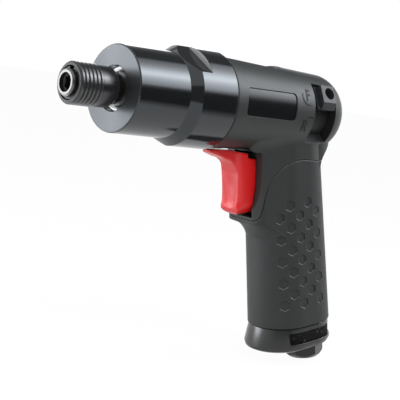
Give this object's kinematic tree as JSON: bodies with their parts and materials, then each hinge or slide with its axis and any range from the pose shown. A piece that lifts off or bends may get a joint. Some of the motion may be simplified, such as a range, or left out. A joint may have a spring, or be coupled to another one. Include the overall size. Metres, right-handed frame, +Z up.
{
  "type": "pneumatic screwdriver",
  "caption": "Pistol-grip air screwdriver: quick-change hex chuck, planetary gear and vane motor in a black case, rubber grip, red trigger, reverse lever and air inlet in the base.",
  "frame": {"origin": "on the barrel axis, at the front face of the front case", "axes": "+X along the barrel out of the nose, +Y to the tool's left, +Z up"},
  "size_m": [0.1716, 0.0444, 0.1413],
  "materials": {
    "case_black": "polished black coating",
    "body_plastic": "satin moulded plastic",
    "grip_rubber": "soft matt rubber with hexagonal dimples",
    "plate_gloss": "gloss plastic",
    "trigger_red": "semi-gloss red plastic",
    "lever_grey": "satin dark grey plastic",
    "base_plastic": "semi-gloss moulded plastic",
    "chuck_black": "black oxide",
    "inlet_black": "black oxide",
    "bright_steel": "turned and polished",
    "spring_steel": "drawn wire",
    "gear_steel": "hardened and ground",
    "motor_iron": "ground",
    "vane_composite": "laminated fibre",
    "valve_plastic": "moulded",
    "bronze": "turned",
    "seal_rubber": "moulded",
    "muffler_felt": "pressed felt"
  },
  "bodies": {
    "body": {"front_case": "case_black", "nose_bush": "bright_steel", "thrust_washer": "bronze", "ring_gear": "gear_steel", "front_end_plate": "motor_iron", "motor_cylinder": "motor_iron", "rear_end_plate": "motor_iron", "front_bearing_outer": "bright_steel", "rear_bearing_outer": "bright_steel", "housing": "body_plastic", "rubber_grip": "grip_rubber", "side_plate": "plate_gloss", "throttle_bush": "bronze", "throttle_seal": "seal_rubber", "throttle_spring": "spring_steel", "base_cap": "base_plastic", "muffler": "muffler_felt", "inlet_bush": "inlet_black", "inlet_washer": "bronze", "inlet_screen": "bronze"},
    "spindle": {"spindle": "bright_steel", "chuck_ring": "chuck_black", "chuck_spring_seat": "bright_steel", "chuck_spring": "spring_steel", "clutch_balls": "bright_steel", "clutch_cam": "gear_steel", "clutch_spring": "spring_steel", "clutch_nut": "gear_steel", "planet_carrier": "gear_steel", "planet_pins": "bright_steel"},
    "sleeve": {"chuck_sleeve": "chuck_black"},
    "bit_ball_left": {"bit_ball_left": "bright_steel"},
    "bit_ball_right": {"bit_ball_right": "bright_steel"},
    "planet_1": {"planet_gear_1": "gear_steel"},
    "planet_2": {"planet_gear_2": "gear_steel"},
    "planet_3": {"planet_gear_3": "gear_steel"},
    "rotor": {"rotor": "gear_steel", "sun_pinion": "gear_steel", "rotor_vanes": "vane_composite", "front_bearing_inner": "bright_steel", "rear_bearing_inner": "bright_steel"},
    "front_balls": {"front_bearing_balls": "bright_steel"},
    "rear_balls": {"rear_bearing_balls": "bright_steel"},
    "reverse": {"reverse_valve": "valve_plastic", "reverse_lever": "lever_grey", "detent_ball": "bright_steel", "detent_spring": "spring_steel"},
    "trigger": {"trigger": "trigger_red", "trigger_rod": "bright_steel", "throttle_valve": "seal_rubber"}
  },
  "joints": [
    {"name": "spindle_spin", "type": "hinge", "parent": "body", "child": "spindle", "pos_m": [0, 0, 0], "axis": [1, 0, 0], "continuous": true},
    {"name": "rotor_spin", "type": "hinge", "parent": "body", "child": "rotor", "pos_m": [-0.078, 0, 0], "axis": [1, 0, 0], "continuous": true},
    {"name": "front_ball_orbit", "type": "hinge", "parent": "body", "child": "front_balls", "pos_m": [-0.0595, 0, 0], "axis": [1, 0, 0], "continuous": true},
    {"name": "rear_ball_orbit", "type": "hinge", "parent": "body", "child": "rear_balls", "pos_m": [-0.098, 0, 0], "axis": [1, 0, 0], "continuous": true},
    {"name": "planet_1_spin", "type": "hinge", "parent": "spindle", "child": "planet_1", "pos_m": [0, 0, 0.00945], "axis": [1, 0, 0], "continuous": true},
    {"name": "planet_2_spin", "type": "hinge", "parent": "spindle", "child": "planet_2", "pos_m": [0, 0.00818, -0.00473], "axis": [1, 0, 0], "continuous": true},
    {"name": "planet_3_spin", "type": "hinge", "parent": "spindle", "child": "planet_3", "pos_m": [0, -0.00818, -0.00473], "axis": [1, 0, 0], "continuous": true},
    {"name": "sleeve_slide", "type": "slide", "parent": "spindle", "child": "sleeve", "axis": [-1, 0, 0], "range_m": [0, 0.0035], "stiffness_N_per_m": 1700, "springref_m": -0.0035, "deforming": ["chuck_spring"]},
    {"name": "left_ball_lift", "type": "slide", "parent": "spindle", "child": "bit_ball_left", "axis": [0, 1, 0], "range_m": [0, 0.0008]},
    {"name": "right_ball_lift", "type": "slide", "parent": "spindle", "child": "bit_ball_right", "axis": [0, -1, 0], "range_m": [0, 0.0008]},
    {"name": "reverse_turn", "type": "hinge", "parent": "body", "child": "reverse", "pos_m": [-0.11, 0, 0], "axis": [-1, 0, 0], "range_deg": [0, 50]},
    {"name": "trigger_pull", "type": "slide", "parent": "body", "child": "trigger", "axis": [-1, 0, 0], "range_m": [0, 0.005], "stiffness_N_per_m": 1000, "springref_m": -0.003, "deforming": ["throttle_spring"]}
  ],
  "couplings": [
    {"joint": "rotor_spin", "follows": "spindle_spin", "ratio": 4.5},
    {"joint": "front_ball_orbit", "follows": "spindle_spin", "ratio": 1.7962},
    {"joint": "rear_ball_orbit", "follows": "spindle_spin", "ratio": 1.7962},
    {"joint": "planet_1_spin", "follows": "spindle_spin", "ratio": -2.8},
    {"joint": "planet_2_spin", "follows": "spindle_spin", "ratio": -2.8},
    {"joint": "planet_3_spin", "follows": "spindle_spin", "ratio": -2.8},
    {"joint": "left_ball_lift", "follows": "sleeve_slide", "ratio": 0.22857},
    {"joint": "right_ball_lift", "follows": "sleeve_slide", "ratio": 0.22857}
  ]
}
